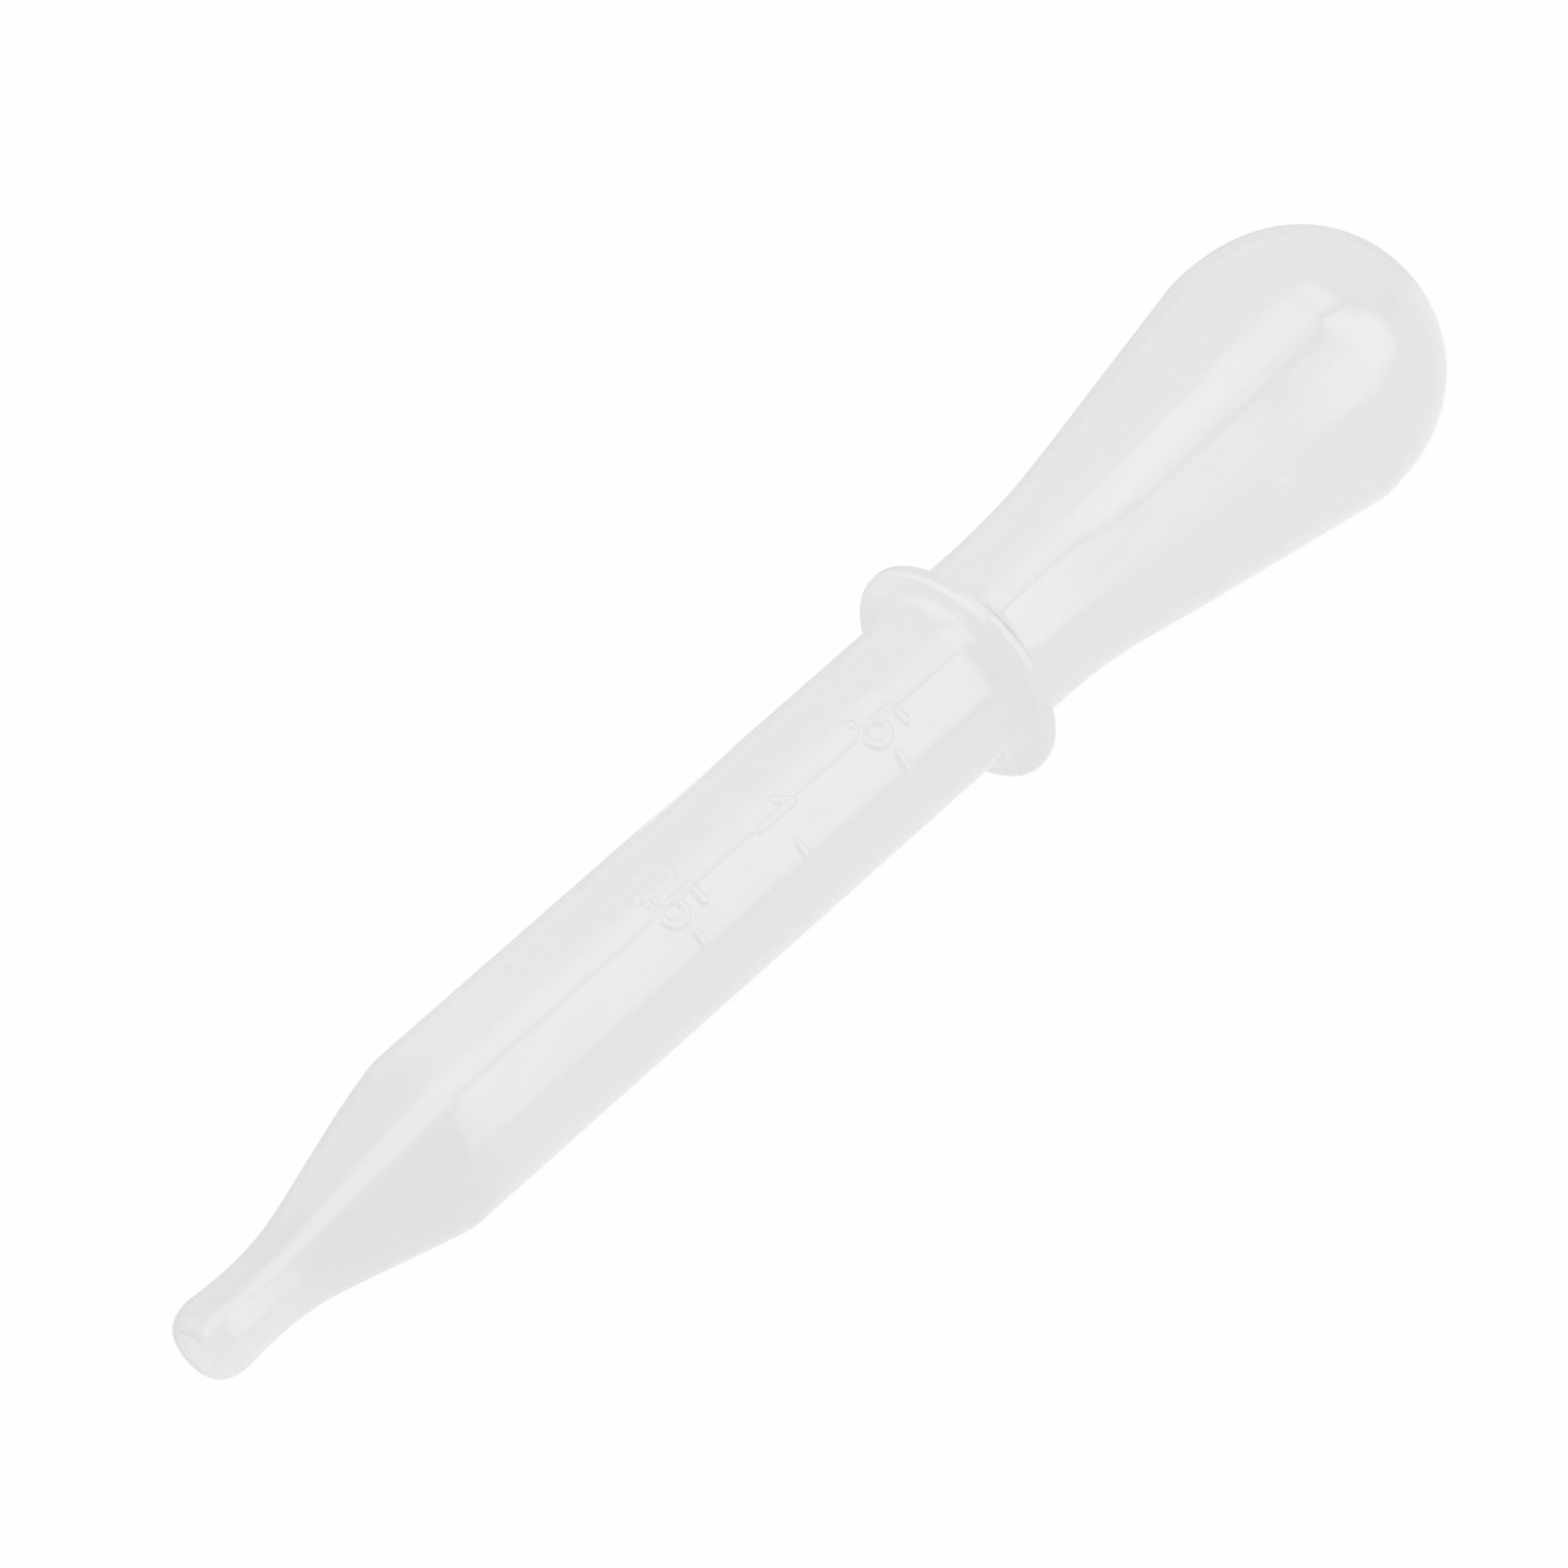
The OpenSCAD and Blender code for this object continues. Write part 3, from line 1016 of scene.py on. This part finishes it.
@dataclass(frozen=True)
class MilkyPlastic:
    """Natural low-density polyethylene: milky, see-through, with a soft blown skin.

    The colours are those of its clearer and milkier parts, of the painted shade on the taper,
    the nozzle's far side and the rim, of the painted shade in the crease at the flange's root
    and of the painted light on the flange face's far half. Wall and nozzle say how much each
    part of the wall hides, and the two half values how much the flange face's far half, with
    its painted light, and its near half, with its painted shade, hide; haze how much that
    varies, and rim how much it grows where the skin is seen along itself.
    Light passes more easily than sight does: the stops are the share of all this that stops it.
    """

    name: str = "milky_polyethylene"
    clear: Triple = (0.947, 0.947, 0.947)
    cloudy: Triple = (0.963, 0.963, 0.963)
    # Grey of the painted shade on the taper, the nozzle's far side and the rim.
    painted_shade_grey: Triple = (0.853, 0.853, 0.853)
    # Grey of the painted shade in the crease at the flange's root.
    root: Triple = (0.603, 0.603, 0.603)
    # White of the painted light on the flange face's far half.
    lip: Triple = (0.991, 0.991, 0.991)
    roughness: Point = (0.08, 0.12)
    index: float = 1.51
    gloss: float = 0.5
    wall: float = 0.82
    nozzle: float = 0.67
    # How much the flange face hides, on its far half with painted light and on its near half with
    # painted shade.
    lit_half_alpha: float = 0.95
    shaded_half_alpha: float = 0.68
    haze: float = 0.008
    rim: float = 1.0
    rim_start: float = 0.7
    stops: float = 0.2
    # Share that stops light on the flange face's near half, higher there as painted shade.
    shaded_half_stops: float = 0.6
    ripple: float = 0.006 * MM
    peel: float = 0.0003 * MM

    def material(self, maps: SharedMaps) -> bpy.types.Material:
        """Makes the material.

        Args:
            maps: The shared node groups.

        Returns:
            The material.
        """
        material = bpy.data.materials.new(self.name)
        material.use_nodes = True
        tree = material.node_tree
        shader = tree.nodes["Principled BSDF"]
        shader.inputs["IOR"].default_value = self.index
        shader.inputs["Specular IOR Level"].default_value = self.gloss
        place = tree.nodes.new("ShaderNodeTexCoord").outputs["Object"]
        groups = (maps.cloud, maps.depth, maps.skin)
        cloud, depth, skin = (self.placed(tree, group, place) for group in groups)
        tint = tree.nodes.new("ShaderNodeMix")
        tint.data_type = "RGBA"
        tint.inputs["A"].default_value = (*self.clear, 1.0)
        tint.inputs["B"].default_value = (*self.cloudy, 1.0)
        tree.links.new(cloud.outputs["Cloud"], tint.inputs["Factor"])
        colour = tint.outputs["Result"]
        # Painted shade on the taper, the nozzle's far side and the rim, painted shade in the crease
        # at the flange's root, and painted light on the flange face's far half.
        for name, paint in (("PaintedShade", self.painted_shade_grey), ("PaintedCreaseShade", self.root), ("PaintedLitHalf", self.lip)):
            layer = tree.nodes.new("ShaderNodeMix")
            layer.data_type = "RGBA"
            layer.inputs["B"].default_value = (*paint, 1.0)
            tree.links.new(colour, layer.inputs["A"])
            tree.links.new(depth.outputs[name], layer.inputs["Factor"])
            colour = layer.outputs["Result"]
        tree.links.new(colour, shader.inputs["Base Color"])
        rough = maps.sums(tree, "MAXIMUM", cloud.outputs["Cloud"], cloud.outputs["Specks"])
        roughness = maps.ease(tree, rough, (0.0, 1.0), self.roughness)
        tree.links.new(roughness, shader.inputs["Roughness"])
        tree.links.new(self.milk(tree, maps, cloud, depth), shader.inputs["Alpha"])
        skin.inputs["Ripple"].default_value = self.ripple
        skin.inputs["Peel"].default_value = self.peel
        bump = tree.nodes.new("ShaderNodeBump")
        bump.inputs["Distance"].default_value = 1.0
        tree.links.new(skin.outputs["Height"], bump.inputs["Height"])
        tree.links.new(bump.outputs["Normal"], shader.inputs["Normal"])
        return material

    def milk(
        self, tree: Tree, maps: SharedMaps, cloud: bpy.types.Node, depth: bpy.types.Node,
    ) -> Socket:
        """How much the wall hides: more in the thicker nozzle and where it is seen along its skin.

        Args:
            tree: The material's tree.
            maps: The shared node groups.
            cloud: The placed cloud group.
            depth: The placed wall group.

        Returns:
            The socket that feeds Alpha.
        """
        full = (0.0, 1.0)
        wall = maps.ease(tree, depth.outputs["Nozzle"], full, (self.wall, self.nozzle))
        # Painted light on the flange face's far half and painted shade on its near half, as changes
        # in how much the wall hides.
        for name, value in (("PaintedLitHalf", self.lit_half_alpha), ("PaintedShadedHalf", self.shaded_half_alpha)):
            change = maps.sums(tree, "MULTIPLY", depth.outputs[name], value - self.wall)
            wall = maps.sums(tree, "ADD", wall, change)
        haze = maps.ease(tree, cloud.outputs["Cloud"], full, (-self.haze, self.haze))
        facing = tree.nodes.new("ShaderNodeLayerWeight")
        facing.inputs["Blend"].default_value = 0.5
        edge = maps.ease(tree, facing.outputs["Facing"], (self.rim_start, 1.0), (0.0, self.rim))
        base = maps.sums(tree, "ADD", wall, haze)
        hidden = maps.sums(tree, "MULTIPLY", maps.sums(tree, "SUBTRACT", base, 1.0), -1.0, edge)
        seen = maps.sums(tree, "ADD", base, hidden)
        lit = tree.nodes.new("ShaderNodeMix")
        lit.data_type = "FLOAT"
        # The flange face's near half stops more light, as painted shade.
        stopped = maps.ease(tree, depth.outputs["PaintedShadedHalf"], full, (self.stops, self.shaded_half_stops))
        tree.links.new(stopped, lit.inputs["A"])
        lit.inputs["B"].default_value = 1.0
        tree.links.new(white_ray_mask(tree), lit.inputs["Factor"])
        return maps.sums(tree, "MULTIPLY", seen, lit.outputs["Result"])

    @staticmethod
    def placed(tree: Tree, group: Tree, place: Socket) -> bpy.types.Node:
        """Puts a shared group in a material.

        Args:
            tree: The material's tree.
            group: The shared group.
            place: Socket with the place on the piece.

        Returns:
            The group's node.
        """
        node = tree.nodes.new("ShaderNodeGroup")
        node.node_tree = group
        tree.links.new(place, node.inputs["Place"])
        return node


def white_ray_mask(tree: Tree) -> Socket:
    """Mask that is 1 for what is looked at: straight, in a reflection or through the plastic.

    Args:
        tree: The node tree that needs the mask.

    Returns:
        The mask's socket.
    """
    path = tree.nodes.new("ShaderNodeLightPath")
    mask = path.outputs["Is Camera Ray"]
    for name in ("Is Glossy Ray", "Is Transmission Ray"):
        either = tree.nodes.new("ShaderNodeMath")
        either.operation = "MAXIMUM"
        tree.links.new(mask, either.inputs[0])
        tree.links.new(path.outputs[name], either.inputs[1])
        mask = either.outputs[0]
    return mask


def show_in_gloss_only(card: bpy.types.Object) -> None:
    """Keeps a studio card out of everything but reflections.

    Args:
        card: The card.
    """
    for name in ("camera", "diffuse", "transmission", "volume_scatter", "shadow"):
        setattr(card, "visible_" + name, False)


@dataclass(frozen=True)
class SoftBox:
    """A flat soft panel hung parallel to the dropper's axis; only gloss shows it.

    It covers a range of turns about the axis, in degrees from straight up towards the back, at a
    distance from it, and its ends lie along it. It glows at one level before its change and at
    the far one past it. Soft gives the reach of its soft edges, first the two ends, then the two
    sides, and edge glow is the level that they fade to. A slanted limit may cut its far end, and
    aside moves it in its own plane.
    """

    name: str
    turn: Point
    ends: Point
    glow: float
    far_glow: float
    change: Point = (0.33, 0.43)
    soft: Tuple[float, float, float, float] = (0.02, 0.03, 0.03, 0.03)
    slant: float = 0.0
    limit: float = 10.0
    distance: float = 0.6
    aside: float = 0.0
    edge_glow: float = 1.0

    def build(self) -> None:
        """Hangs the panel, where only reflections show it."""
        middle = math.radians(0.5 * sum(self.turn))
        half = self.distance * math.tan(math.radians(0.5 * (self.turn[1] - self.turn[0])))
        mesh = bmesh.new()
        bmesh.ops.create_grid(mesh, x_segments=1, y_segments=1, size=1.0)
        place, reach = 0.5 * sum(self.ends), 0.5 * (self.ends[1] - self.ends[0])
        bmesh.ops.scale(mesh, verts=mesh.verts[:], vec=(reach, half, 1.0))
        bmesh.ops.translate(mesh, verts=mesh.verts[:], vec=(place, self.aside, self.distance))
        panel = place_mesh(self.name, mesh)
        panel.rotation_euler = (-middle, 0.0, 0.0)
        panel.data.materials.append(self.material(half))
        show_in_gloss_only(panel)

    def material(self, half: float) -> bpy.types.Material:
        """Glow that fades at its soft edges.

        Args:
            half: Half the panel's width.

        Returns:
            The material.
        """
        material, tree, surface = bare_material(self.name)
        glow = tree.nodes.new("ShaderNodeEmission")
        split = tree.nodes.new("ShaderNodeSeparateXYZ")
        tree.links.new(tree.nodes.new("ShaderNodeTexCoord").outputs["Object"], split.inputs[0])
        along, across = split.outputs["X"], split.outputs["Y"]
        slope = SharedMaps.sums(tree, "MULTIPLY", across, self.slant)
        slanted = SharedMaps.sums(tree, "ADD", along, slope)
        edges = (
            (along, self.ends[0], self.soft[0]), (along, self.ends[1], -self.soft[1]),
            (slanted, self.limit, -self.soft[1]),
            (across, self.aside - half, self.soft[2]), (across, self.aside + half, -self.soft[3]),
        )
        lit = None
        for value, end, reach in edges:
            step = SharedMaps.ease(tree, value, (end, end + reach))
            lit = step if lit is None else SharedMaps.sums(tree, "MULTIPLY", lit, step)
        edge = self.edge_glow
        level = SharedMaps.ease(tree, along, self.change, (self.glow - edge, self.far_glow - edge))
        level = SharedMaps.sums(tree, "ADD", SharedMaps.sums(tree, "MULTIPLY", level, lit), edge)
        tree.links.new(level, glow.inputs["Strength"])
        tree.links.new(glow.outputs[0], surface)
        return material


@dataclass(frozen=True)
class DarkSeam:
    """A narrow grey strip along the edge of a panel; only gloss shows it.

    Its path gives places along the axis with the turn about it, and its width is in degrees.
    """

    name: str
    path: Tuple[Point, ...]
    width: float
    level: float
    distance: float = 0.55

    def build(self) -> None:
        """Hangs the strip, where only reflections show it."""
        mesh = bmesh.new()
        verts = []
        for along, turn in self.path:
            angle = math.radians(turn - 0.5 * self.width)
            aside, up = self.distance * math.sin(angle), self.distance * math.cos(angle)
            verts.append(mesh.verts.new((along, aside, up)))
        edges = [mesh.edges.new(pair) for pair in zip(verts, verts[1:])]
        side = bmesh.ops.extrude_edge_only(mesh, edges=edges)["geom"]
        moved = [item for item in side if isinstance(item, bmesh.types.BMVert)]
        turned = Matrix.Rotation(-math.radians(self.width), 3, "X")
        bmesh.ops.rotate(mesh, verts=moved, cent=(0, 0, 0), matrix=turned)
        strip = place_mesh(self.name, mesh)
        material, tree, surface = bare_material(self.name)
        glow = tree.nodes.new("ShaderNodeEmission")
        glow.inputs["Strength"].default_value = self.level
        tree.links.new(glow.outputs[0], surface)
        strip.data.materials.append(material)
        show_in_gloss_only(strip)


@dataclass
class Studio:
    """White floor and surroundings, a soft lamp overhead, and cards that only gloss shows."""

    floor_size: float = 6.0
    floor_colour: Triple = (0.95, 0.95, 0.95)
    floor_glow: float = 0.96
    ambient: float = 0.815
    lamp_level: float = 0.04
    lamp_size: float = 1.2
    lamp_height: float = 1.2
    lamp_tilt: float = -18.0
    boxes: Tuple[SoftBox, ...] = (
        SoftBox(
            "panel_far", (-9.0, 27.0), (-1.5, 0.36), 2.15, 1.62, change=(0.18, 0.25),
            soft=(0.05, 0.01, 0.02, 0.12),
        ),
        SoftBox(
            "panel_far_end", (-9.0, 27.0), (0.36, 0.56), 2.1, 2.1, soft=(0.01, 0.05, 0.02, 0.12),
        ),
        SoftBox(
            "panel_near", (-78.0, -8.0), (0.07, 0.86), 1.35, 2.4, change=(0.16, 0.42),
            soft=(0.015, 0.08, 0.22, 0.03), slant=0.88, limit=0.88,
        ),
        SoftBox(
            "cap_spot", (-72.0, -34.0), (0.0301, 0.043), 2.25, 2.25,
            soft=(0.001, 0.0002, 0.005, 0.005), distance=0.03, edge_glow=1.25,
        ),
        SoftBox(
            "cap_gap", (-46.0, -24.0), (0.0268, 0.0298), 0.75, 0.75,
            soft=(0.0008, 0.0008, 0.004, 0.0003), distance=0.03, edge_glow=1.35,
        ),
        SoftBox(
            "camera_side", (-80.0, -17.0), (-1.5, 0.068), 0.35, 0.35, soft=(0.05, 0.01, 0.05, 0.02),
        ),
        SoftBox("back_left", (30.0, 104.0), (-1.6, -0.2), 1.8, 1.8, soft=(0.1, 0.1, 0.1, 0.3)),
        SoftBox(
            "floor_shade", (98.33, 261.67), (-0.085, 0.2), 0.72, 0.72,
            soft=(0.02, 0.03, 0.05, 0.01), distance=0.0082, aside=-0.053,
        ),
        SoftBox(
            "floor_light", (134.0, 226.0), (-0.0115, -0.005), 1.05, 1.05,
            soft=(0.001, 0.001, 0.002, 0.002), distance=0.0081, aside=-0.0125,
        ),
        SoftBox("gap_top", (-26.0, -4.0), (0.56, 0.88), 0.3, 0.3, soft=(0.06, 0.06, 0.04, 0.04)),
        SoftBox("far_end", (-60.0, -16.0), (0.84, 3.0), 0.4, 0.4, soft=(0.1, 0.3, 0.1, 0.1)),
    )
    seams: Tuple[DarkSeam, ...] = (
        DarkSeam("seam_bulb", ((0.0, -17.0), (0.14, -20.5), (0.19, -12.0), (0.23, -8.0)), 8.0, 0.3),
        DarkSeam("seam_stem", ((0.23, -8.0), (0.32, -8.0), (0.75, -12.0)), 4.5, 0.3),
        DarkSeam("seam_low", ((0.2, -79.0), (0.36, -79.0)), 5.0, 0.35),
    )

    def build(self, ground: float) -> None:
        """Builds the studio.

        Args:
            ground: Height of the floor.
        """
        mesh = bmesh.new()
        bmesh.ops.create_grid(mesh, x_segments=1, y_segments=1, size=0.5 * self.floor_size)
        bmesh.ops.translate(mesh, verts=mesh.verts[:], vec=(0, 0, ground))
        floor = place_mesh("floor", mesh)
        floor.data.materials.append(self.floor_material())
        self.world()
        self.lamp()
        for card in self.boxes + self.seams:
            card.build()

    def lamp(self) -> None:
        """Hangs the broad soft lamp overhead."""
        light = bpy.data.lights.new("lamp_overhead", "AREA")
        light.shape = "DISK"
        light.size = self.lamp_size
        light.energy = self.lamp_level * 4.0 * math.pi
        lamp = bpy.data.objects.new("lamp_overhead", light)
        tilt = Matrix.Rotation(math.radians(self.lamp_tilt), 4, "X")
        lamp.matrix_world = tilt @ Matrix.Translation((0.0, 0.0, self.lamp_height))
        lamp.visible_glossy = False
        lamp.visible_camera = False
        bpy.context.scene.collection.objects.link(lamp)

    def floor_material(self) -> bpy.types.Material:
        """Plain white floor that keeps a faint shadow where it is looked at.

        Returns:
            The material.
        """
        material, tree, surface = bare_material("floor_white")
        paint = tree.nodes.new("ShaderNodeBsdfDiffuse")
        paint.inputs["Color"].default_value = (*self.floor_colour, 1.0)
        glow = tree.nodes.new("ShaderNodeEmission")
        glow.inputs["Strength"].default_value = 1.0
        mix = tree.nodes.new("ShaderNodeMixShader")
        share = tree.nodes.new("ShaderNodeMath")
        share.operation = "MULTIPLY"
        share.inputs[1].default_value = self.floor_glow
        tree.links.new(white_ray_mask(tree), share.inputs[0])
        tree.links.new(share.outputs[0], mix.inputs[0])
        tree.links.new(paint.outputs[0], mix.inputs[1])
        tree.links.new(glow.outputs[0], mix.inputs[2])
        tree.links.new(mix.outputs[0], surface)
        return material

    def world(self) -> None:
        """White surroundings, a little dimmer where they light the dropper or are mirrored."""
        world = bpy.data.worlds.new("studio_white")
        bpy.context.scene.world = world
        world.use_nodes = True
        tree = world.node_tree
        tree.nodes.clear()
        output = tree.nodes.new("ShaderNodeOutputWorld")
        background = tree.nodes.new("ShaderNodeBackground")
        background.inputs["Color"].default_value = (1.0, 1.0, 1.0, 1.0)
        blend = tree.nodes.new("ShaderNodeMix")
        blend.data_type = "FLOAT"
        blend.inputs["A"].default_value = self.ambient
        blend.inputs["B"].default_value = 1.0
        looked_at = tree.nodes.new("ShaderNodeLightPath").outputs["Is Camera Ray"]
        tree.links.new(looked_at, blend.inputs["Factor"])
        tree.links.new(blend.outputs["Result"], background.inputs["Strength"])
        tree.links.new(background.outputs[0], output.inputs["Surface"])


@dataclass
class Viewpoint:
    """The camera, looking down on the dropper from the nozzle's side."""

    place: Triple = (-0.26407, -0.22213, 0.42882)
    forward: Triple = (0.46391, 0.41032, -0.78513)
    lens: float = 233.7

    def build(self) -> None:
        """Places the camera and makes it the scene's own."""
        data = bpy.data.cameras.new("camera")
        data.lens = self.lens
        data.sensor_width = 36.0
        data.clip_start = 0.01
        data.clip_end = 20.0
        camera = bpy.data.objects.new("camera", data)
        forward = Vector(self.forward).normalized()
        right = forward.cross(Vector((0.0, 0.0, 1.0))).normalized()
        up = right.cross(forward)
        turned = Matrix((right, up, -forward)).transposed().to_4x4()
        camera.matrix_world = Matrix.Translation(self.place) @ turned
        bpy.context.scene.collection.objects.link(camera)
        bpy.context.scene.camera = camera


def main() -> None:
    """Builds the scene in order: camera, dropper, studio."""
    logging.basicConfig(level=logging.INFO, format="%(message)s")
    bpy.context.scene.view_settings.view_transform = "Standard"
    Viewpoint().build()
    body = BlownBody()
    inner = MilkyPlastic(
        name="inner_skin", roughness=(0.45, 0.55), wall=0.12, nozzle=0.12, lit_half_alpha=0.12, shaded_half_alpha=0.12,
        rim=0.0,
    )
    body.build(MilkyPlastic(), inner, SharedMaps())
    Studio().build(CAD_BOX[0][2])


if __name__ == "__main__":
    main()
